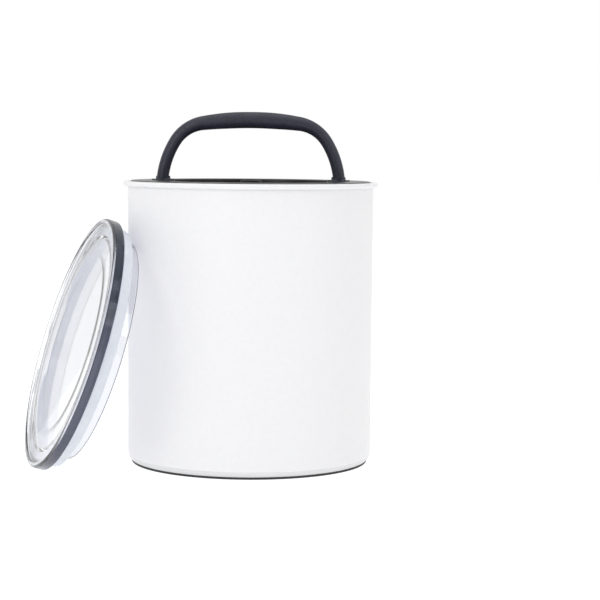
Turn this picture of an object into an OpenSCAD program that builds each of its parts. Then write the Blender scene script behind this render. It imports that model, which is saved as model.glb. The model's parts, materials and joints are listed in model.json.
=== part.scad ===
// Coffee storage canister with a plunger lid, a folding carry handle, a vent valve
// and a clear press-on outer lid that leans against the canister.
// Millimetres, +Z up, origin at the centre of the foot ring's underside.

/* [Canister] */
// Outside diameter of the straight wall
body_d = 170; // [168:1:172]
// Height from the table to the top of the rolled rim
body_h = 195.5; // [190:0.5:205]
// Thickness of the sheet steel
wall_t = 0.8; // [0.7:0.05:0.9]
// Radius of the rolled bead round the mouth
bead_r = 1.8; // [1.6:0.1:2.2]
// Height of the dark ring that the canister stands on
foot_h = 1.5; // [1.2:0.1:2]

/* [Plunger] */
// Height of the plunger's top face above the rolled rim
plate_proud = 0.5; // [0:0.1:1]
// Radius of the sunken dish in the plunger
dish_r = 68; // [67.5:0.5:68.5]
// Depth of the sunken dish
dish_depth = 8.2; // [8:0.1:8.6]
// Thickness of the moulded walls
mould_t = 2.2; // [2:0.1:2.4]
// Distance between the plunger's top face and the underside of its lower cover
plunger_h = 22.4; // [22.2:0.1:23]

/* [Handle] */
// Height of the handle's highest point above the plunger's top face
handle_h = 47.7; // [46:0.1:49]
// Half thickness of the handle at the grip
grip_half = 5.65; // [5.2:0.05:5.8]
// Half thickness of the handle at its legs
leg_half = 4.15; // [3.8:0.05:4.4]
// Radius of the nearly flat crown
crown_r = 240; // [230:5:250]
// Radius of the shoulders
shoulder_r = 27; // [26.5:0.5:27.5]
// Radius of the bowed legs
leg_r = 60; // [58:1:62]

/* [Outer lid] */
// Outside diameter of the clear lid
lid_d = 176.4; // [174:0.2:178]
// Height of the lid's rim
lid_rim_h = 8.1; // [7.8:0.1:8.6]
// Outside radius of the collar that reaches into the mouth
collar_r = 76.9; // [75.5:0.1:77.5]
// Length of the collar below the rim
collar_h = 13.8; // [12:0.1:15]
// Lean of the lid, measured from upright
lean = 17.5; // [15:0.5:20]
// Direction in which the lid leans, measured from +X
lean_turn = 15.9; // [0:0.1:30]

/* [Hidden] */
$fn = 96;

body_r = body_d / 2;
bore_r = body_r - wall_t;

// The rounded bottom edge is a wide arc that runs into a tight one.
corner_wide_r = 9;
corner_tight_r = 1.5;
corner_split = -40;
tight_at = [
    body_r - corner_wide_r + (corner_wide_r - corner_tight_r) * cos(corner_split),
    foot_h + corner_tight_r
];
wide_at = [body_r - corner_wide_r, tight_at[1] - (corner_wide_r - corner_tight_r) * sin(corner_split)];
flange_r = 70;
pan_r = 77;
pan_rise = 1.2;

plate_z = body_h + plate_proud;
plate_r = bore_r - 0.8;
floor_z = plate_z - dish_depth;
floor_under_z = floor_z - mould_t;
band_under_z = plate_z - mould_t;
cover_t = 2.4;
cover_z = plate_z - plunger_h;
cover_top_z = cover_z + cover_t;
skirt_r = 78.4;
seal_body_r = 81.2;
seal_lip_r = bore_r - 0.25;
seal_lip_rise = 2.8;

// Handle pivot: the hub turns on a pin between an inner and an outer lug.
pivot_z = plate_z - 2;
pivot_x = 61;
hub_r = 5;
hub_half = 4.9;
lug_gap = 0.3;
lug_r = 3;
lug_t = 2.6;
lug_span = hub_half + lug_gap + lug_t;
pin_r = 1.75;
pin_play = 0.05;
pin_proud = 0.2;
pin_length = 2 * lug_span - 0.8;
cam_r = 4.5;
cam_reach = 5;
cam_w = 4;
cam_slot_play = 0.35;

// Handle centreline: crown, shoulder and leg arcs, each ending at its own slope.
crown_end = 8;
shoulder_end = 58;
leg_end = 86;
grip_depth_half = 5.8;
leg_depth_half = 4.6;
grip_half_length = 10;
taper_half_length = 58;
ring_sides = 20;

// Valve: a stem that slides in the dish floor and carries the disc under the cover.
stem_r = 2;
stem_tip_r = 1.6;
guide_r = 2.25;
guide_tube_r = 4.4;
guide_top_z = floor_z + 3.2;
valve_travel = 1.2;
disc_r = 10;
disc_t = 2;
disc_top_z = cover_z - valve_travel - 0.1;
clip_t = 0.8;
clip_r = 3.6;
bar_t = 2;
bar_top_z = floor_under_z - valve_travel - 0.2;
bar_half_w = 4;
spring_r = 3.3;
spring_wire_r = 0.4;
spring_turns = 3;
spring_seat_z = bar_top_z - bar_t - 2;
knob_r = 7.4;
knob_bore_r = 5.4;
knob_top_z = plate_z + 0.5;
knob_foot_z = floor_z + 0.6;
vent_r = 1.1;
vent_ring_r = 6.2;
port_r = 1.5;
port_ring_r = 6.4;

screw_count = 6;
screw_ring_r = 73.1;
screw_r = 1.3;
screw_head_r = 2.6;
screw_head_h = 1.3;
screw_depth = 11;
screw_boss_r = 3.2;

// Outer lid, in its own frame: +Z out of its top face, 0 at the rim's lower edge.
lid_r = lid_d / 2;
crest_edge_r = 1.8;
crest_edge_at = [lid_r - crest_edge_r, lid_rim_h - crest_edge_r];
crest_fall_r = 2.4;
crest_fall_at = [lid_r - crest_fall_r, lid_rim_h - crest_fall_r];
crest_foot_r = lid_r - 6.2;
lid_edge_r = 1.2;
lid_skin = 2.4;
shelf_top = 6.4;
well_top = 5;
well_r = 59;
well_wall_r = 62.5;
seal_pocket_h = 1.4;
seal_pocket_r = lid_r - 2.9;
collar_t = 2.4;
collar_edge = 0.8;
lid_seal_r = 84.5;
lid_seal_h = 7.1;

// The lid tips about a line in its rim, placed so that the lid touches the table
// both as it leans and as it lies on its top face.
tip_h = lid_rim_h / 2;
tip_r = lid_r - lid_edge_r
    - (lid_rim_h - tip_h - lid_edge_r - (tip_h - lid_edge_r) * sin(lean)) / cos(lean);
lid_z = lid_rim_h - tip_h - tip_h * sin(lean) + tip_r * cos(lean);
lean_gap = 0.3;
lid_reach = (collar_r - collar_edge) * sin(lean) + (collar_h - collar_edge) * cos(lean) + collar_edge;
lid_away = body_r + lean_gap + lid_reach;

// Points along an arc about a centre, in one plane.
function arc(at, r, from, to, steps = 8) =
    [for (i = [0:steps]) at + r * [cos(from + (to - from) * i / steps), sin(from + (to - from) * i / steps)]];

// ---------------------------------------------------------------- canister

module canister_shell() {
    mouth_at = [body_r + bead_r, body_h - bead_r - wall_t];
    color("white")
    rotate_extrude()
    polygon(concat(
        [[flange_r, foot_h]],
        arc(tight_at, corner_tight_r, -90, corner_split, 4),
        arc(wide_at, corner_wide_r, corner_split, 0, 6),
        arc([body_r + bead_r, body_h - bead_r], bead_r, -150, 90, 14),
        arc(mouth_at, bead_r + wall_t, 100, 180, 6),
        arc(wide_at, corner_wide_r - wall_t, 0, corner_split, 6),
        arc(tight_at, corner_tight_r - wall_t, corner_split, -90, 4),
        [[flange_r, foot_h + wall_t]]
    ));
}

module base_pan() {
    z = foot_h + wall_t;
    color("silver")
    rotate_extrude()
    polygon([
        [0, z + pan_rise], [58, z + pan_rise], [60, z], [pan_r, z],
        [pan_r, z + wall_t], [60.5, z + wall_t], [58.5, z + pan_rise + wall_t], [0, z + pan_rise + wall_t]
    ]);
}

module foot_ring() {
    outer_r = tight_at[0] + 0.6;
    color("black")
    rotate_extrude()
    polygon([[74, 0], [outer_r - 0.3, 0], [outer_r, 0.3], [outer_r, foot_h], [74, foot_h]]);
}

// ----------------------------------------------------------------- plunger

// One child at each of the cover's screw places.
module at_screws() {
    for (i = [0:screw_count - 1])
        rotate(30 + i * 360 / screw_count)
        translate([screw_ring_r, 0, 0])
        children();
}

// One child at each of a ring of holes near the axis.
module at_ring(count, r) {
    for (i = [0:count - 1])
        rotate(i * 360 / count)
        translate([r, 0, 0])
        children();
}

// A lug beside a handle hub, from x to x + lug_t, round at the pin and square below.
module pivot_lug(x) {
    translate([x, 0, pivot_z])
    rotate([0, 90, 0])
    cylinder(r = lug_r, h = lug_t);
    translate([x, -lug_r, floor_z - mould_t / 2])
    cube([lug_t, 2 * lug_r, pivot_z - floor_z + mould_t / 2]);
}

module plate_section() {
    edge = 0.8;
    polygon(concat(
        [[guide_tube_r, floor_under_z], [dish_r + mould_t, floor_under_z], [dish_r + mould_t, band_under_z]],
        [[skirt_r - mould_t, band_under_z], [skirt_r - mould_t, cover_top_z], [skirt_r, cover_top_z]],
        [[skirt_r, band_under_z], [plate_r, band_under_z]],
        arc([plate_r - edge, plate_z - edge], edge, 0, 90, 4),
        arc([dish_r + edge, plate_z - edge], edge, 90, 180, 4),
        [[dish_r, floor_z + edge]],
        arc([dish_r - edge, floor_z + edge], edge, 0, -90, 4),
        [[guide_tube_r, floor_z]]
    ));
}

module plunger_plate() {
    slot_w = cam_w + 2 * cam_slot_play;
    color("dimgray")
    difference() {
        union() {
            rotate_extrude() plate_section();
            translate([0, 0, floor_under_z]) cylinder(r = guide_tube_r + 0.1, h = guide_top_z - floor_under_z);
            for (side = [0, 180])
                rotate(side) {
                    pivot_lug(pivot_x - lug_span);
                    pivot_lug(pivot_x + hub_half + lug_gap);
                }
            at_screws()
                translate([0, 0, cover_top_z])
                cylinder(r = screw_boss_r, h = band_under_z - cover_top_z + 0.5);
        }
        translate([0, 0, floor_under_z - 1]) cylinder(r = guide_r, h = 20);
        at_ring(8, vent_ring_r)
            translate([0, 0, floor_under_z - 1])
            cylinder(r = vent_r, h = mould_t + 2);
        at_screws()
            translate([0, 0, cover_top_z - 1])
            cylinder(r = screw_r + 0.05, h = screw_depth + 1.5);
        for (side = [-1, 1])
            translate([side * pivot_x - slot_w / 2, -7.8, floor_under_z - 1])
            cube([slot_w, 12.8, mould_t + 2]);
        for (side = [0, 180])
            rotate(side)
            translate([pivot_x - lug_span - pin_proud, 0, pivot_z])
            rotate([0, 90, 0])
            cylinder(r = pin_r, h = pin_length + 0.4);
    }
}

module wiper_seal() {
    low = cover_top_z;
    high = band_under_z;
    color("darkgray")
    rotate_extrude()
    polygon([
        [skirt_r, low], [seal_body_r, low], [seal_body_r, low + 2.4],
        [seal_lip_r, low + 2.4 + seal_lip_rise], [seal_lip_r, low + 3 + seal_lip_rise],
        [seal_body_r, low + 5.2], [seal_body_r, high - 6.4],
        [seal_lip_r, high - 6.4 + seal_lip_rise], [seal_lip_r, high - 5.8 + seal_lip_rise],
        [seal_body_r, high - 3.6], [seal_body_r, high], [skirt_r, high]
    ]);
}

module under_cover() {
    cover_r = seal_body_r + 0.6;
    color("dimgray")
    difference() {
        rotate_extrude()
        polygon([
            [0, cover_z], [cover_r - 1.4, cover_z], [cover_r, cover_z + 1.4],
            [cover_r, cover_top_z], [0, cover_top_z]
        ]);
        translate([0, 0, cover_z - 1]) cylinder(r = guide_r, h = cover_t + 2);
        at_ring(6, port_ring_r)
            translate([0, 0, cover_z - 1])
            cylinder(r = port_r, h = cover_t + 2);
        at_screws() {
            translate([0, 0, cover_z - 1]) cylinder(r = screw_r + 0.2, h = cover_t + 2);
            translate([0, 0, cover_z - 1]) cylinder(r = screw_head_r + 0.3, h = 1 + screw_head_h + 0.1);
        }
    }
}

// A pan-headed screw, head down, with a cross recess.
module cover_screw() {
    head_top_z = cover_z + screw_head_h + 0.1;
    difference() {
        union() {
            translate([0, 0, head_top_z - screw_head_h]) cylinder(r = screw_head_r, h = screw_head_h);
            translate([0, 0, head_top_z]) cylinder(r = screw_r, h = screw_depth);
        }
        for (turn = [0, 90])
            translate([0, 0, head_top_z - screw_head_h])
            rotate(turn)
            cube([2.8, 0.6, 1.4], center = true);
    }
}

module cover_screws() {
    color("silver")
    at_screws() cover_screw();
}

// ------------------------------------------------------------------ handle

module pivot_pin() {
    taper = 0.4;
    color("silver")
    translate([pivot_x - lug_span - pin_proud, 0, pivot_z])
    rotate([0, 90, 0])
    union() {
        cylinder(r = pin_r, h = pin_length - taper);
        translate([0, 0, pin_length - taper]) cylinder(r1 = pin_r, r2 = pin_r - taper, h = taper);
    }
}

module pivot_pin_left() { rotate(180) pivot_pin(); }

module pivot_pin_right() { pivot_pin(); }

// Where the handle's centreline is when it has turned down through a slope, as [x, z].
crown_top_z = plate_z + handle_h - grip_half;
crown_out = [crown_r * sin(crown_end), crown_top_z - crown_r * (1 - cos(crown_end))];
shoulder_out = crown_out
    + shoulder_r * [sin(shoulder_end) - sin(crown_end), cos(shoulder_end) - cos(crown_end)];

function bail_at(slope) =
    slope <= crown_end
        ? [crown_r * sin(slope), crown_top_z - crown_r * (1 - cos(slope))]
    : slope <= shoulder_end
        ? crown_out + shoulder_r * [sin(slope) - sin(crown_end), cos(slope) - cos(crown_end)]
    : shoulder_out + leg_r * [sin(slope) - sin(shoulder_end), cos(slope) - cos(shoulder_end)];

// 1 along the grip, 0 along the legs, with a smooth change between.
function grip_share(x) =
    let (t = max(0, min(1, (taper_half_length - x) / (taper_half_length - grip_half_length))))
    t * t * (3 - 2 * t);

// One ring of the handle, at a signed slope: negative on the left half.
function bail_ring(slope) =
    let (
        side = slope < 0 ? -1 : 1,
        at = bail_at(abs(slope)),
        share = grip_share(at[0]),
        half = leg_half + (grip_half - leg_half) * share,
        depth = leg_depth_half + (grip_depth_half - leg_depth_half) * share,
        out = [side * sin(abs(slope)), cos(slope)]
    )
    [for (i = [0:ring_sides - 1])
        let (a = 360 * i / ring_sides)
        [side * at[0] + half * cos(a) * out[0], depth * sin(a), at[1] + half * cos(a) * out[1]]];

bail_slopes = concat(
    [for (s = [-leg_end:4:-shoulder_end]) s],
    [for (s = [-54:5:-crown_end]) s],
    [for (s = [-6:2:6]) s],
    [for (s = [9:5:54]) s],
    [for (s = [shoulder_end:4:leg_end]) s]
);

module bail_sweep() {
    rings = [for (s = bail_slopes) bail_ring(s)];
    last = len(rings) - 1;
    n = ring_sides;
    side_faces = [
        for (r = [0:last - 1])
        for (i = [0:n - 1])
        for (half = [0, 1])
            let (a = r * n + i, b = r * n + (i + 1) % n)
            half == 0 ? [a, b + n, a + n] : [a, b, b + n]
    ];
    polyhedron(
        points = [for (ring = rings) for (p = ring) p],
        faces = concat([[for (i = [n - 1:-1:0]) i]], side_faces, [[for (i = [0:n - 1]) last * n + i]])
    );
}

// Hub at a handle foot, with the cam that holds the valve open while the handle stands.
module bail_hub() {
    translate([pivot_x - hub_half, 0, pivot_z])
    rotate([0, 90, 0])
    cylinder(r = hub_r, h = 2 * hub_half);
    translate([pivot_x - cam_w / 2, 0, pivot_z])
    rotate([0, 90, 0])
    linear_extrude(cam_w)
    union() {
        translate([cam_reach, 0]) circle(r = cam_r);
        translate([0, -cam_r]) square([cam_reach, 2 * cam_r]);
    }
}

module handle_bail() {
    color("darkslategray")
    difference() {
        union() {
            bail_sweep();
            bail_hub();
            rotate(180) bail_hub();
        }
        for (side = [0, 180])
            rotate(side)
            translate([pivot_x - hub_half - 1, 0, pivot_z])
            rotate([0, 90, 0])
            cylinder(r = pin_r + pin_play, h = 2 * hub_half + 2);
    }
}

// ------------------------------------------------------------------- valve

module valve_knob() {
    edge = 1.6;
    ceiling_z = guide_top_z + 1.6;
    color("black")
    rotate_extrude()
    polygon(concat(
        [[stem_r, ceiling_z], [knob_bore_r, ceiling_z], [knob_bore_r, knob_foot_z], [knob_r, knob_foot_z]],
        arc([knob_r - edge, knob_top_z - edge], edge, 0, 90, 5),
        [[4, knob_top_z], [3, knob_top_z - 0.5], [0, knob_top_z - 0.5]],
        [[0, ceiling_z + 1.4], [stem_r, ceiling_z + 1.4]]
    ));
}

module valve_stem() {
    tip_z = disc_top_z - disc_t - clip_t - 0.8;
    top_z = guide_top_z + 3;
    bar_under_z = bar_top_z - bar_t;
    color("silver")
    union() {
        translate([0, 0, disc_top_z]) cylinder(r = stem_r, h = top_z - disc_top_z);
        translate([0, 0, tip_z]) cylinder(r = stem_tip_r, h = disc_top_z - tip_z + 0.5);
        translate([0, 0, spring_seat_z]) cylinder(r = guide_tube_r, h = bar_under_z - spring_seat_z);
    }
}

module lifter_bar() {
    color("gainsboro")
    difference() {
        translate([0, 0, bar_top_z - bar_t])
        linear_extrude(bar_t)
        union() {
            square([2 * pivot_x, 2 * bar_half_w], center = true);
            circle(r = 7);
            for (side = [-1, 1])
                translate([side * pivot_x, 0]) circle(r = bar_half_w + 0.6);
        }
        translate([0, 0, bar_top_z - bar_t - 1]) cylinder(r = stem_r, h = bar_t + 2);
    }
}

module return_spring() {
    steps = 14;
    sides = 8;
    count = spring_turns * steps;
    low = cover_top_z + spring_wire_r;
    high = spring_seat_z - spring_wire_r;
    rings = [
        for (k = [0:count])
            let (turn = 360 * k / steps, z = low + (high - low) * k / count)
            [for (i = [0:sides - 1])
                let (
                    a = 360 * i / sides,
                    r = spring_r + spring_wire_r * cos(a)
                )
                [r * cos(turn), r * sin(turn), z + spring_wire_r * sin(a)]]
    ];
    side_faces = [
        for (k = [0:count - 1])
        for (i = [0:sides - 1])
        for (half = [0, 1])
            let (a = k * sides + i, b = k * sides + (i + 1) % sides)
            half == 0 ? [a, b + sides, a + sides] : [a, b, b + sides]
    ];
    color("silver")
    polyhedron(
        points = [for (ring = rings) for (p = ring) p],
        faces = concat(
            [[for (i = [sides - 1:-1:0]) i]],
            side_faces,
            [[for (i = [0:sides - 1]) count * sides + i]]
        )
    );
}

module valve_disc() {
    low = disc_top_z - disc_t;
    color("gray")
    rotate_extrude()
    polygon([
        [stem_tip_r, low], [disc_r - 1.5, low], [disc_r, low + 1], [disc_r, disc_top_z],
        [disc_r - 1.2, disc_top_z], [disc_r - 1.8, disc_top_z - 0.4],
        [5, disc_top_z - 0.4], [4.4, disc_top_z], [stem_tip_r, disc_top_z]
    ]);
}

module stem_clip() {
    color("silver")
    translate([0, 0, disc_top_z - disc_t - clip_t])
    difference() {
        cylinder(r = clip_r, h = clip_t);
        translate([0, 0, -1]) cylinder(r = stem_tip_r, h = clip_t + 2);
        translate([0, -1.2, -1]) cube([clip_r + 1, 2.4, clip_t + 2]);
    }
}

// --------------------------------------------------------------- outer lid

// Sets a lid piece where the lid leans against the canister.
module leaning() {
    translate([-lid_away * cos(lean_turn), -lid_away * sin(lean_turn), lid_z])
    rotate([0, 0, lean_turn])
    rotate([0, lean - 90, 0])
    children();
}

module lid_shell() {
    collar_in = collar_r - collar_t;
    shelf_under = shelf_top - lid_skin;
    well_under = well_top - lid_skin;
    color("lightgray", 0.4)
    leaning()
    rotate_extrude()
    polygon(concat(
        [[0, well_under], [well_r, well_under], [well_wall_r, shelf_under], [collar_in, shelf_under]],
        arc([collar_in + collar_edge, collar_edge - collar_h], collar_edge, 180, 270, 3),
        arc([collar_r - collar_edge, collar_edge - collar_h], collar_edge, 270, 360, 3),
        [[collar_r, seal_pocket_h], [seal_pocket_r, seal_pocket_h], [seal_pocket_r, 0]],
        arc([lid_r - lid_edge_r, lid_edge_r], lid_edge_r, 270, 360, 4),
        arc(crest_edge_at, crest_edge_r, 0, 90, 8),
        arc(crest_fall_at, crest_fall_r, 90, 140, 5),
        [[crest_foot_r, shelf_top], [well_wall_r, shelf_top], [well_r, well_top], [0, well_top]]
    ));
}

module lid_seal() {
    color("white", 0.8)
    leaning()
    rotate_extrude()
    polygon(concat(
        [[collar_r, -lid_seal_h]],
        arc([lid_seal_r - 1.8, 1.2 - lid_seal_h], 1.2, 270, 360, 4),
        [[lid_seal_r, -0.8], [lid_seal_r - 0.4, 0], [seal_pocket_r - 0.1, 0.3]],
        [[seal_pocket_r - 0.1, seal_pocket_h], [collar_r, seal_pocket_h]]
    ));
}

canister_shell();
base_pan();
foot_ring();
plunger_plate();
wiper_seal();
under_cover();
cover_screws();
pivot_pin_left();
pivot_pin_right();
handle_bail();
valve_knob();
valve_stem();
lifter_bar();
return_spring();
valve_disc();
stem_clip();
lid_shell();
lid_seal();
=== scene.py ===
import json
import math

import bmesh
import bpy
from mathutils import Matrix, Vector


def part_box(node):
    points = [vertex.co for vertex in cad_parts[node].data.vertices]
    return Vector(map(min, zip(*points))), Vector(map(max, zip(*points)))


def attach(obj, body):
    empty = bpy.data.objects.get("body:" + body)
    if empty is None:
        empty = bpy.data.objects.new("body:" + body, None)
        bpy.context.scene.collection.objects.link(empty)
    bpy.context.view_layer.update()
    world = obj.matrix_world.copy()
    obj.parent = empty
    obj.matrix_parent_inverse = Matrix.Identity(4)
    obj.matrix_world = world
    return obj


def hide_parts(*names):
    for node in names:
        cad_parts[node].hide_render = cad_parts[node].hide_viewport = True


# A white coffee canister with a plunger lid, a folding carry handle and a smoke-clear outer lid.
# Lengths are millimetres in the constants and metres in Blender, and angles are degrees.
# +Z is up and -Y is the front.

MM = 0.001

# Camera, as it stands to the canister.
CAMERA_DISTANCE = 1315.5
CAMERA_HEIGHT = 222.4
CAMERA_PITCH_DOWN = 4.76
CAMERA_YAW_RIGHT = 1.52
CAMERA_ROLL = 0.48
CAMERA_LENS = 113.06

# Canister wall.
WALL_T = 0.8
BEAD_R = 1.8
CORNER_WIDE_R = 9.0
CORNER_TIGHT_R = 1.5
CORNER_SPLIT = -40
FLANGE_R = 70.0
BEAD_START = -150
MOUTH_START = 100

# Handle centreline and sections.
CROWN_R = 240.0
CROWN_END = 8
SHOULDER_R = 27.0
SHOULDER_END = 58
LEG_R = 60.0
LEG_END = 86
SLOPE_STEP = 0.7
GRIP_HALF = 5.65
GRIP_DEPTH_HALF = 5.8
LEG_HALF = 4.15
LEG_DEPTH_HALF = 4.6
GRIP_HALF_LENGTH = 10.0
TAPER_HALF_LENGTH = 58.0
HUB_R = 5.0
HUB_HALF = 4.9
HUB_BORE_R = 1.8
CAM_R = 4.5
CAM_REACH = 5.0
CAM_HALF = 2.0
PIVOT_X = 61.0
HANDLE_EDGE_R = 0.4
HANDLE_EDGE_ANGLE = 50

# Outer lid, in its own frame: +Z out of its top face, 0 at the rim's lower edge.
LID_R = 88.2
LID_RIM_H = 8.1
CREST_EDGE_R = 1.8
CREST_FALL_R = 2.4
CREST_FOOT_R = LID_R - 6.2
CREST_FALL_END = 140
LID_EDGE_R = 1.2
LID_SKIN = 2.4
SHELF_TOP = 6.4
WELL_TOP = 5.0
WELL_R = 59.0
WELL_WALL_R = 62.5
SEAL_POCKET_H = 1.4
SEAL_POCKET_R = LID_R - 2.9
COLLAR_R = 76.9
COLLAR_H = 13.8
COLLAR_T = 2.4
COLLAR_EDGE = 0.8
COLLAR_FOOT_H = 0.48

# Seal round the lid's collar, in the lid's frame.
SEAL_R = 84.5
SEAL_H = 7.1
SEAL_GAP = 0.06
SEAL_EDGE_R = 1.2
SEAL_FOOT_TAPER = 0.6
SEAL_TOP_TAPER = 0.4
SEAL_SHOULDER_H = 0.8
SEAL_STEP_H = 0.3
SEAL_POCKET_GAP = 0.1

# Painted shade on the lid's side wall: as it leans, its tint is light below the first height and dark
# above the second.
EDGE_SHADE_FADE = (90.0, 125.0)
EDGE_SHADE_DEEP = (0.010, 0.015, 0.026)
EDGE_SHADE_PALE = (0.048, 0.053, 0.083)

# Which of the lid's materials its faces take. The rest of the lid takes the first.
# The side wall, the collar and the crest take darker copies of the lid's plastic, as painted shade.
SIDE_FACES = 1
COLLAR_FACES = 2
CREST_FACES = 3

# How far inside a round surface the middles of its faces may lie.
FACE_SLACK = 0.05

# Steps round a turn, finer where light is bent, and the angle from which an edge stays sharp.
WALL_STEPS = 320
LID_STEPS = 512
SEAL_STEPS = 384
SHARP_ANGLE = 40

# Studio, in metres.
FLOOR_REACH = 6
LAMP_AIM = (0, 0, 0.1)


# ------------------------------------------------------------------ geometry

def arc(centre, radius, start, end, steps):
    """Points (r, z) along an arc, from the start angle to the end angle in degrees."""
    points = []
    for step in range(steps + 1):
        angle = math.radians(start + (end - start) * step / steps)
        points.append((centre[0] + radius * math.cos(angle), centre[1] + radius * math.sin(angle)))
    return points


def circle(count):
    """The cosine and sine of each of a number of equal steps round a turn."""
    turns = [2 * math.pi * index / count for index in range(count)]
    return [(math.cos(turn), math.sin(turn)) for turn in turns]


def bridge(bm, one, two):
    """Joins two rings of the same number of points by a band of faces."""
    for index in range(len(one)):
        after = (index + 1) % len(one)
        corners = []
        for vert in (one[index], one[after], two[after], two[index]):
            if vert not in corners:
                corners.append(vert)
        if len(corners) > 2:
            bm.faces.new(corners)


def new_object(name, bm):
    """A smooth-shaded object of a bmesh, whose flat faces keep their own normals."""
    bmesh.ops.remove_doubles(bm, verts=bm.verts, dist=1e-7)
    bmesh.ops.recalc_face_normals(bm, faces=bm.faces)
    mesh = bpy.data.meshes.new(name)
    bm.to_mesh(mesh)
    bm.free()
    mesh.shade_smooth()
    mesh.set_sharp_from_angle(angle=math.radians(SHARP_ANGLE))
    obj = bpy.data.objects.new(name, mesh)
    bpy.context.scene.collection.objects.link(obj)
    weighted = obj.modifiers.new("weighted_normals", "WEIGHTED_NORMAL")
    weighted.keep_sharp = True
    return obj


def lathe(name, profile, steps):
    """A solid of revolution about Z from a closed profile of (r, z) points in millimetres."""
    bm = bmesh.new()
    rings = []
    for radius, height in profile:
        if radius == 0:
            rings.append([bm.verts.new((0, 0, height * MM))] * steps)
            continue
        rings.append([
            bm.verts.new((radius * cosine * MM, radius * sine * MM, height * MM))
            for cosine, sine in circle(steps)
        ])
    for one, two in zip(rings, rings[1:] + rings[:1]):
        bridge(bm, one, two)
    return new_object(name, bm)


# ----------------------------------------------------------------- materials

def new_material(name):
    """An empty material with its output, its shader and its tools."""
    material = bpy.data.materials.new(name)
    material.use_nodes = True
    nodes = material.node_tree.nodes
    nodes.clear()
    output = nodes.new("ShaderNodeOutputMaterial")
    shader = nodes.new("ShaderNodeBsdfPrincipled")
    material.node_tree.links.new(shader.outputs["BSDF"], output.inputs["Surface"])
    return material, nodes, material.node_tree.links, shader, output


def noise(nodes, links, scale, detail=2.0, stretch=(1, 1, 1)):
    """A noise value in object space. Scale is in features per metre."""
    place = nodes.new("ShaderNodeTexCoord")
    mapping = nodes.new("ShaderNodeMapping")
    mapping.inputs["Scale"].default_value = stretch
    texture = nodes.new("ShaderNodeTexNoise")
    texture.inputs["Scale"].default_value = scale
    texture.inputs["Detail"].default_value = detail
    links.new(place.outputs["Object"], mapping.inputs["Vector"])
    links.new(mapping.outputs["Vector"], texture.inputs["Vector"])
    return texture.outputs["Fac"]


def ramp(nodes, links, value, low, high, start=0.3, end=0.7):
    """A value mapped onto a range."""
    node = nodes.new("ShaderNodeMapRange")
    node.inputs["From Min"].default_value = start
    node.inputs["From Max"].default_value = end
    node.inputs["To Min"].default_value = low
    node.inputs["To Max"].default_value = high
    links.new(value, node.inputs["Value"])
    return node.outputs["Result"]


def tint(nodes, links, value, low, high, start=0.3, end=0.7):
    """A colour between two, by a value."""
    node = nodes.new("ShaderNodeValToRGB")
    node.color_ramp.elements[0].position = start
    node.color_ramp.elements[0].color = (*low, 1)
    node.color_ramp.elements[1].position = end
    node.color_ramp.elements[1].color = (*high, 1)
    links.new(value, node.inputs["Fac"])
    return node.outputs["Color"]


def combine(nodes, links, operation, first, second):
    """The result of a maths operation on two values, of which the first may be a plain number."""
    node = nodes.new("ShaderNodeMath")
    node.operation = operation
    if isinstance(first, float):
        node.inputs[0].default_value = first
    else:
        links.new(first, node.inputs[0])
    links.new(second, node.inputs[1])
    return node.outputs["Value"]


def mix_surfaces(nodes, links, share, first, second):
    """A surface that goes from the first to the second as the share goes from 0 to 1."""
    node = nodes.new("ShaderNodeMixShader")
    links.new(share, node.inputs["Fac"])
    links.new(first, node.inputs[1])
    links.new(second, node.inputs[2])
    return node.outputs["Shader"]


def bump(nodes, links, shader, value, distance):
    """A bump of the given depth in millimetres."""
    node = nodes.new("ShaderNodeBump")
    node.inputs["Distance"].default_value = distance * MM
    node.inputs["Strength"].default_value = 1.0
    links.new(value, node.inputs["Height"])
    links.new(node.outputs["Normal"], shader.inputs["Normal"])


def powder_coat():
    """The white coat, with its fine orange-peel grain."""
    material, nodes, links, shader, _ = new_material("powder_coat")
    mottle = noise(nodes, links, 320, 3)
    grain = noise(nodes, links, 1400, 2)
    colour = tint(nodes, links, mottle, (0.800, 0.800, 0.812), (0.818, 0.818, 0.830))
    links.new(colour, shader.inputs["Base Color"])
    links.new(ramp(nodes, links, grain, 0.40, 0.52), shader.inputs["Roughness"])
    bump(nodes, links, shader, grain, 0.012)
    return material


def brushed_steel():
    """Bare steel sheet, brushed round the canister."""
    material, nodes, links, shader, _ = new_material("brushed_steel")
    lines = noise(nodes, links, 60, 4, (1, 1, 60))
    shader.inputs["Metallic"].default_value = 0.9
    shader.inputs["Anisotropic"].default_value = 0.5
    colour = tint(nodes, links, lines, (0.66, 0.66, 0.67), (0.78, 0.78, 0.79))
    links.new(colour, shader.inputs["Base Color"])
    links.new(ramp(nodes, links, lines, 0.38, 0.52), shader.inputs["Roughness"])
    bump(nodes, links, shader, lines, 0.01)
    return material


def bright_steel():
    """The small turned and wound steel pieces."""
    material, nodes, links, shader, _ = new_material("bright_steel")
    wear = noise(nodes, links, 500, 3)
    shader.inputs["Metallic"].default_value = 1.0
    colour = tint(nodes, links, wear, (0.58, 0.58, 0.59), (0.70, 0.70, 0.71))
    links.new(colour, shader.inputs["Base Color"])
    links.new(ramp(nodes, links, wear, 0.18, 0.34), shader.inputs["Roughness"])
    bump(nodes, links, shader, wear, 0.006)
    return material


def moulded_plastic(name, low, high, rough_low, rough_high, grain_scale, grain_depth, specular=0.5):
    """A moulded plastic with a fine grain."""
    material, nodes, links, shader, _ = new_material(name)
    cloud = noise(nodes, links, 120, 3)
    grain = noise(nodes, links, grain_scale, 2)
    shader.inputs["Specular IOR Level"].default_value = specular
    links.new(tint(nodes, links, cloud, low, high), shader.inputs["Base Color"])
    links.new(ramp(nodes, links, grain, rough_low, rough_high), shader.inputs["Roughness"])
    bump(nodes, links, shader, grain, grain_depth)
    return material


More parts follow.
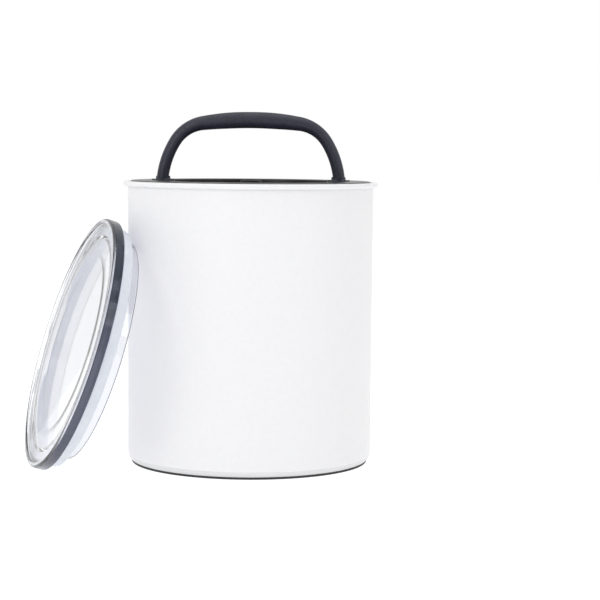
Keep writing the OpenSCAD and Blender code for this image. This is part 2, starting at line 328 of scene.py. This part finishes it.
def let_light_through(nodes, links, surface, output, colour):
    """Lets part of the light reach what lies behind, as a thin clear piece does."""
    path = nodes.new("ShaderNodeLightPath")
    clear = nodes.new("ShaderNodeBsdfTransparent")
    clear.inputs["Color"].default_value = (*colour, 1)
    light = combine(nodes, links, "MAXIMUM", path.outputs["Is Shadow Ray"], path.outputs["Is Diffuse Ray"])
    mixed = mix_surfaces(nodes, links, light, surface, clear.outputs["BSDF"])
    links.new(mixed, output.inputs["Surface"])


def smoke_clear(name, colour):
    """Clear plastic with a grey-blue smoke tint."""
    material, nodes, links, shader, output = new_material(name)
    haze = noise(nodes, links, 70, 3)
    shader.inputs["Transmission Weight"].default_value = 1.0
    shader.inputs["IOR"].default_value = 1.5
    shader.inputs["Base Color"].default_value = (*colour, 1)
    links.new(ramp(nodes, links, haze, 0.01, 0.04), shader.inputs["Roughness"])
    let_light_through(nodes, links, shader.outputs["BSDF"], output, (0.96, 0.96, 0.98))
    return material


def smoke_edge_painted_shade():
    """The same plastic at the lid's side wall, seen there through its whole width, with painted shade: a
    darker tint that grows darker higher up and varies at random.
    """
    material, nodes, links, shader, output = new_material("smoke_edge_painted_shade")
    cloud = noise(nodes, links, 30, 2, (1, 1, 2.5))
    place = nodes.new("ShaderNodeTexCoord")
    split = nodes.new("ShaderNodeSeparateXYZ")
    links.new(place.outputs["Object"], split.inputs["Vector"])
    # Painted shade: the tint darkens with height, over a random cloud.
    shade_fade = ramp(nodes, links, split.outputs["Z"], 0.0, 0.45, EDGE_SHADE_FADE[0] * MM, EDGE_SHADE_FADE[1] * MM)
    shade_depth = combine(nodes, links, "SUBTRACT", cloud, shade_fade)
    shader.inputs["Transmission Weight"].default_value = 0.3
    shader.inputs["Specular IOR Level"].default_value = 0.25
    shader.inputs["IOR"].default_value = 1.5
    links.new(tint(nodes, links, shade_depth, EDGE_SHADE_DEEP, EDGE_SHADE_PALE, 0.05, 0.4), shader.inputs["Base Color"])
    links.new(ramp(nodes, links, shade_depth, 0.03, 0.08), shader.inputs["Roughness"])
    glass = nodes.new("ShaderNodeBsdfGlass")
    glass.inputs["IOR"].default_value = 1.5
    glass.inputs["Roughness"].default_value = 0.02
    side = nodes.new("ShaderNodeNewGeometry")
    outer = combine(nodes, links, "SUBTRACT", 1.0, side.outputs["Backfacing"])
    surface = mix_surfaces(nodes, links, outer, glass.outputs["BSDF"], shader.outputs["BSDF"])
    let_light_through(nodes, links, surface, output, (0.75, 0.76, 0.80))
    return material


def frosted_silicone():
    """The lid's milky seal."""
    material, nodes, links, shader, output = new_material("frosted_silicone")
    cloud = noise(nodes, links, 150, 3)
    grain = noise(nodes, links, 1800, 2)
    shader.inputs["Transmission Weight"].default_value = 0.35
    shader.inputs["IOR"].default_value = 1.41
    shader.inputs["Subsurface Weight"].default_value = 0.3
    shader.inputs["Subsurface Radius"].default_value = (0.004, 0.004, 0.005)
    colour = tint(nodes, links, cloud, (0.72, 0.75, 0.80), (0.78, 0.81, 0.85))
    links.new(colour, shader.inputs["Base Color"])
    links.new(ramp(nodes, links, grain, 0.45, 0.62), shader.inputs["Roughness"])
    bump(nodes, links, shader, grain, 0.01)
    let_light_through(nodes, links, shader.outputs["BSDF"], output, (0.75, 0.76, 0.78))
    return material


def floor_paper():
    """White paper on a light table: it glows a little, so that shadows stay faint."""
    material, nodes, links, shader, _ = new_material("floor_paper")
    fibre = noise(nodes, links, 300, 4)
    colour = tint(nodes, links, fibre, (0.35, 0.35, 0.35), (0.37, 0.37, 0.37))
    links.new(colour, shader.inputs["Base Color"])
    links.new(ramp(nodes, links, fibre, 0.75, 0.85), shader.inputs["Roughness"])
    shader.inputs["Specular IOR Level"].default_value = 0.1
    shader.inputs["Emission Color"].default_value = (1, 1, 1, 1)
    shader.inputs["Emission Strength"].default_value = 0.80
    return material


# -------------------------------------------------------------------- pieces

def canister_wall():
    """The coated steel wall with its rolled rim, bare inside."""
    low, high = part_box("canister_shell")
    foot = low.z / MM
    top = high.z / MM
    body_r = high.x / MM - 2 * BEAD_R
    split = math.radians(CORNER_SPLIT)
    tight = (
        body_r - CORNER_WIDE_R + (CORNER_WIDE_R - CORNER_TIGHT_R) * math.cos(split),
        foot + CORNER_TIGHT_R,
    )
    wide = (body_r - CORNER_WIDE_R, tight[1] - (CORNER_WIDE_R - CORNER_TIGHT_R) * math.sin(split))
    mouth = (body_r + BEAD_R, top - BEAD_R - WALL_T)
    profile = [(FLANGE_R, foot)]
    profile += arc(tight, CORNER_TIGHT_R, -90, CORNER_SPLIT, 8)
    profile += arc(wide, CORNER_WIDE_R, CORNER_SPLIT, 0, 10)[1:]
    profile += arc((body_r + BEAD_R, top - BEAD_R), BEAD_R, BEAD_START, 90, 28)
    profile += arc(mouth, BEAD_R + WALL_T, MOUTH_START, 180, 12)
    profile += arc(wide, CORNER_WIDE_R - WALL_T, 0, CORNER_SPLIT, 10)
    profile += arc(tight, CORNER_TIGHT_R - WALL_T, CORNER_SPLIT, -90, 8)[1:]
    profile += [(FLANGE_R, foot + WALL_T)]
    wall = lathe("canister_wall", profile, WALL_STEPS)
    wall.data.materials.append(powder_coat())
    wall.data.materials.append(brushed_steel())
    for face in wall.data.polygons:
        spot = face.center
        inside = Vector((spot.x, spot.y)).length / MM < body_r - WALL_T / 2
        if inside and foot + WALL_T / 2 < spot.z / MM < top - BEAD_R:
            face.material_index = 1
    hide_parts("canister_shell")
    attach(wall, "canister")


def bail_point(slope, crown_top):
    """Where the handle's centreline is when it has turned down through a slope, as (x, z)."""
    x = 0.0
    z = crown_top
    start = 0.0
    for radius, end in ((CROWN_R, CROWN_END), (SHOULDER_R, SHOULDER_END), (LEG_R, LEG_END)):
        stop = max(start, math.radians(min(slope, end)))
        x += radius * (math.sin(stop) - math.sin(start))
        z += radius * (math.cos(stop) - math.cos(start))
        start = stop
    return x, z


def bail_section(x):
    """Half height and half depth of the handle at a distance from its middle."""
    t = (TAPER_HALF_LENGTH - x) / (TAPER_HALF_LENGTH - GRIP_HALF_LENGTH)
    t = max(0.0, min(1.0, t))
    share = t * t * (3 - 2 * t)
    half = LEG_HALF + (GRIP_HALF - LEG_HALF) * share
    depth_half = LEG_DEPTH_HALF + (GRIP_DEPTH_HALF - LEG_DEPTH_HALF) * share
    return half, depth_half


def bail_bow(bm, crown_top, sides=48):
    """The bow of the handle: an oval swept along the crown, the shoulders and the legs."""
    slopes = [LEG_END - step * SLOPE_STEP for step in range(int(2 * LEG_END / SLOPE_STEP) + 1)]
    rings = []
    for slope in slopes:
        side = 1 if slope >= 0 else -1
        x, z = bail_point(abs(slope), crown_top)
        half, depth_half = bail_section(x)
        out_x = math.sin(math.radians(slope))
        out_z = math.cos(math.radians(slope))
        rings.append([
            bm.verts.new((
                (side * x + half * cosine * out_x) * MM,
                depth_half * sine * MM,
                (z + half * cosine * out_z) * MM,
            ))
            for cosine, sine in circle(sides)
        ])
    for one, two in zip(rings, rings[1:]):
        bridge(bm, one, two)
    bm.faces.new(rings[0])
    bm.faces.new(rings[-1])


def tube_along_x(bm, middle, half_length, outer, inner, height, sides=64):
    """A round hub along X with a bore through it."""
    ends = ((outer, -half_length), (outer, half_length), (inner, half_length), (inner, -half_length))
    rings = []
    for radius, reach in ends:
        rings.append([
            bm.verts.new(Vector((middle + reach, radius * cosine, height + radius * sine)) * MM)
            for cosine, sine in circle(sides)
        ])
    for one, two in zip(rings, rings[1:] + rings[:1]):
        bridge(bm, one, two)


def cam_below(bm, middle, height):
    """The cam below a hub: a bar with a half-round end that pushes the valve open."""
    outline = [(CAM_R, height - HUB_BORE_R)]
    outline += arc((0, height - CAM_REACH), CAM_R, 0, -180, 32)
    outline += [(-CAM_R, height - HUB_BORE_R)]
    sides = []
    for reach in (-CAM_HALF, CAM_HALF):
        sides.append([bm.verts.new(Vector((middle + reach, y, z)) * MM) for y, z in outline])
    bridge(bm, *sides)
    for side in sides:
        bm.faces.new(side)


def carry_handle():
    """The moulded handle: its bow, and at each foot a hub with a cam."""
    low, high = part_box("handle_bail")
    pivot_z = low.z / MM + CAM_REACH + CAM_R
    bm = bmesh.new()
    bail_bow(bm, high.z / MM - GRIP_HALF)
    for middle in (-PIVOT_X, PIVOT_X):
        tube_along_x(bm, middle, HUB_HALF, HUB_R, HUB_BORE_R, pivot_z)
        cam_below(bm, middle, pivot_z)
    handle = new_object("carry_handle", bm)
    handle.data.materials.append(moulded_plastic(
        "handle_plastic", (0.017, 0.018, 0.032), (0.025, 0.026, 0.044), 0.38, 0.58, 700, 0.12, 0.45,
    ))
    edges = handle.modifiers.new("soft_edges", "BEVEL")
    edges.width = HANDLE_EDGE_R * MM
    edges.segments = 3
    edges.limit_method = "ANGLE"
    edges.angle_limit = math.radians(HANDLE_EDGE_ANGLE)
    handle.modifiers.move(1, 0)
    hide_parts("handle_bail")
    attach(handle, "handle")


def lid_frame():
    """The leaning lid's frame, from its joint: origin on its axis at the rim's lower edge."""
    joint = next(j for j in frame["joints"] if j["name"] == "lid_tip")
    axis = Vector(joint["axis"]).normalized()
    lean = math.radians(joint["range_deg"][1] - 90)
    away = axis.cross(Vector((0, 0, 1)))
    outward = away * math.cos(lean) + Vector((0, 0, 1)) * math.sin(lean)
    down = away * math.sin(lean) - Vector((0, 0, 1)) * math.cos(lean)
    tip_h = LID_RIM_H / 2
    drop = LID_RIM_H - tip_h - LID_EDGE_R - (tip_h - LID_EDGE_R) * math.sin(lean)
    tip_r = LID_R - LID_EDGE_R - drop / math.cos(lean)
    origin = Vector(joint["pos_m"]) - outward * tip_h * MM - down * tip_r * MM
    side = outward.cross(down)
    turned = Matrix((side, -down, outward)).transposed().to_4x4()
    return Matrix.Translation(origin) @ turned


def outer_lid():
    """The smoke-clear lid with its crest, sunken middle and collar."""
    collar_in = COLLAR_R - COLLAR_T
    shelf_under = SHELF_TOP - LID_SKIN
    well_under = WELL_TOP - LID_SKIN
    profile = [(0, well_under), (WELL_R, well_under)]
    profile += [(WELL_WALL_R, shelf_under), (collar_in, shelf_under)]
    profile += arc((collar_in + COLLAR_EDGE, COLLAR_EDGE - COLLAR_H), COLLAR_EDGE, 180, 270, 8)
    profile += arc((COLLAR_R - COLLAR_EDGE, COLLAR_EDGE - COLLAR_H), COLLAR_EDGE, 270, 360, 8)
    profile += [(COLLAR_R, SEAL_POCKET_H), (SEAL_POCKET_R, SEAL_POCKET_H), (SEAL_POCKET_R, 0)]
    profile += arc((LID_R - LID_EDGE_R, LID_EDGE_R), LID_EDGE_R, 270, 360, 10)
    profile += arc((LID_R - CREST_EDGE_R, LID_RIM_H - CREST_EDGE_R), CREST_EDGE_R, 0, 90, 20)
    profile += arc((LID_R - CREST_FALL_R, LID_RIM_H - CREST_FALL_R), CREST_FALL_R, 90, CREST_FALL_END, 14)
    profile += [(CREST_FOOT_R, SHELF_TOP), (WELL_WALL_R, SHELF_TOP), (WELL_R, WELL_TOP), (0, WELL_TOP)]
    lid = lathe("clear_lid", profile, LID_STEPS)
    lid.data.materials.append(smoke_clear("smoke_clear", (0.87, 0.885, 0.92)))
    # The side wall takes a darker copy of the plastic, as painted shade.
    lid.data.materials.append(smoke_edge_painted_shade())
    # Darker copies of the same plastic on the collar and the crest: painted shade.
    lid.data.materials.append(smoke_clear("smoke_collar_painted_shade", (0.70, 0.72, 0.77)))
    lid.data.materials.append(smoke_clear("smoke_crest_painted_shade", (0.56, 0.58, 0.64)))
    for face in lid.data.polygons:
        radius = Vector((face.center.x, face.center.y)).length / MM
        height = face.center.z / MM
        if radius > LID_R - FACE_SLACK or height < COLLAR_FOOT_H - COLLAR_H:
            face.material_index = SIDE_FACES
        elif radius > LID_R - CREST_FALL_R and height > LID_RIM_H - CREST_EDGE_R:
            face.material_index = CREST_FACES
        elif radius > COLLAR_R - 2 * FACE_SLACK and height < 0:
            face.material_index = COLLAR_FACES
    lid.data.transform(lid_frame())
    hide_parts("lid_shell")
    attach(lid, "outer_lid")


def lid_seal_band():
    """The frosted seal round the collar."""
    inner_r = COLLAR_R + SEAL_GAP
    pocket_r = SEAL_POCKET_R - SEAL_POCKET_GAP
    top = SEAL_POCKET_H - SEAL_GAP
    profile = [(inner_r, -SEAL_H)]
    foot = (SEAL_R - SEAL_FOOT_TAPER - SEAL_EDGE_R, SEAL_EDGE_R - SEAL_H)
    profile += arc(foot, SEAL_EDGE_R, 270, 360, 10)
    profile += [(SEAL_R, -SEAL_SHOULDER_H), (SEAL_R - SEAL_TOP_TAPER, 0), (pocket_r, SEAL_STEP_H)]
    profile += [(pocket_r, top), (inner_r, top)]
    band = lathe("lid_seal_band", profile, SEAL_STEPS)
    band.data.transform(lid_frame())
    band.data.materials.append(frosted_silicone())
    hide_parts("lid_seal")
    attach(band, "outer_lid")


def dress(node, material):
    """Gives a CAD node its finish."""
    mesh = frame["nodes"][node].data
    mesh.materials.clear()
    mesh.materials.append(material)


def dress_cad_nodes():
    """Finishes for the pieces whose CAD shape is right as it is."""
    steel = brushed_steel()
    bright = bright_steel()
    charcoal = moulded_plastic(
        "plunger_plastic", (0.018, 0.018, 0.020), (0.024, 0.024, 0.026), 0.26, 0.40, 1500, 0.01,
    )
    black = moulded_plastic(
        "knob_plastic", (0.003, 0.003, 0.004), (0.005, 0.005, 0.006), 0.42, 0.55, 1500, 0.008, 0.25,
    )
    rubber = moulded_plastic(
        "foot_rubber", (0.030, 0.030, 0.032), (0.045, 0.045, 0.048), 0.60, 0.80, 900, 0.03, 0.3,
    )
    silicone = moulded_plastic(
        "grey_silicone", (0.10, 0.10, 0.105), (0.13, 0.13, 0.135), 0.50, 0.66, 1300, 0.02, 0.4,
    )
    natural = moulded_plastic(
        "white_plastic", (0.62, 0.62, 0.60), (0.70, 0.70, 0.68), 0.40, 0.52, 1200, 0.01,
    )
    finishes = {
        "base_pan": steel,
        "foot_ring": rubber,
        "plunger_plate": charcoal,
        "wiper_seal": silicone,
        "under_cover": charcoal,
        "cover_screws": bright,
        "pivot_pin_left": bright,
        "pivot_pin_right": bright,
        "valve_knob": black,
        "valve_stem": bright,
        "lifter_bar": natural,
        "return_spring": bright,
        "valve_disc": silicone,
        "stem_clip": bright,
    }
    for node, material in finishes.items():
        dress(node, material)


# -------------------------------------------------------------------- studio

def floor():
    """The pale floor that the canister stands on."""
    bm = bmesh.new()
    bmesh.ops.create_grid(bm, x_segments=8, y_segments=8, size=FLOOR_REACH)
    paper = new_object("studio_floor", bm)
    paper.data.materials.append(floor_paper())


def studio_world():
    """A white tent with a dark opening where the camera stands, and always white to the camera."""
    world = bpy.data.worlds.new("studio")
    bpy.context.scene.world = world
    world.use_nodes = True
    nodes = world.node_tree.nodes
    links = world.node_tree.links
    nodes.clear()
    output = nodes.new("ShaderNodeOutputWorld")
    direction = nodes.new("ShaderNodeTexCoord")
    split = nodes.new("ShaderNodeSeparateXYZ")
    links.new(direction.outputs["Generated"], split.inputs["Vector"])
    opening = ramp(nodes, links, split.outputs["Y"], 0.04, 0.56, -0.94, -0.88)
    tent = ramp(nodes, links, split.outputs["Y"], 0.0, 0.54, -0.88, 0.1)
    lamp = nodes.new("ShaderNodeBackground")
    links.new(combine(nodes, links, "ADD", opening, tent), lamp.inputs["Strength"])
    backdrop = nodes.new("ShaderNodeBackground")
    backdrop.inputs["Strength"].default_value = 1.0
    backdrop.inputs["Color"].default_value = (1, 1, 1, 1)
    seen = nodes.new("ShaderNodeLightPath").outputs["Is Camera Ray"]
    light = mix_surfaces(nodes, links, seen, lamp.outputs["Background"], backdrop.outputs["Background"])
    links.new(light, output.inputs["Surface"])


def softbox(name, place, size, power):
    """A square soft light that faces the middle of the canister."""
    lamp = bpy.data.lights.new(name, "AREA")
    lamp.size = size
    lamp.energy = power
    obj = bpy.data.objects.new(name, lamp)
    bpy.context.scene.collection.objects.link(obj)
    obj.location = place
    aim = Vector(LAMP_AIM) - Vector(place)
    obj.rotation_mode = "QUATERNION"
    obj.rotation_quaternion = aim.to_track_quat("-Z", "Y")


def lights():
    """Two softboxes beside the camera and one above the canister."""
    softbox("softbox_left", (-0.9, -1.5, 0.9), 1.0, 10)
    softbox("softbox_right", (1.4, -1.3, 1.0), 1.0, 5.5)
    softbox("softbox_top", (0, -0.2, 1.8), 1.4, 7)


def camera():
    """A long lens in front of the canister, a little above its rim."""
    data = bpy.data.cameras.new("camera")
    data.sensor_width = 36
    data.lens = CAMERA_LENS
    obj = bpy.data.objects.new("camera", data)
    bpy.context.scene.collection.objects.link(obj)
    obj.matrix_world = (
        Matrix.Translation((0, -CAMERA_DISTANCE * MM, CAMERA_HEIGHT * MM))
        @ Matrix.Rotation(math.radians(-CAMERA_YAW_RIGHT), 4, "Z")
        @ Matrix.Rotation(math.radians(90 - CAMERA_PITCH_DOWN), 4, "X")
        @ Matrix.Rotation(math.radians(CAMERA_ROLL), 4, "Z")
    )
    bpy.context.scene.camera = obj


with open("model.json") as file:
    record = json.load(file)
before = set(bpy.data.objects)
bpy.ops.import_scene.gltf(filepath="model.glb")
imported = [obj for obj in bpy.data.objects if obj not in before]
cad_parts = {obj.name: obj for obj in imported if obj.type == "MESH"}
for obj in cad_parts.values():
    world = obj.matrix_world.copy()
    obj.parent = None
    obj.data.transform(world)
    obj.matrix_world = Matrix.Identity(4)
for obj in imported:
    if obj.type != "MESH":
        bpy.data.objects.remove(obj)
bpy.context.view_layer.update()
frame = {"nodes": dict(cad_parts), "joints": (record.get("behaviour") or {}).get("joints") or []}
bpy.context.scene.view_settings.view_transform = "Standard"

canister_wall()
carry_handle()
outer_lid()
lid_seal_band()
dress_cad_nodes()

floor()
studio_world()
lights()
camera()
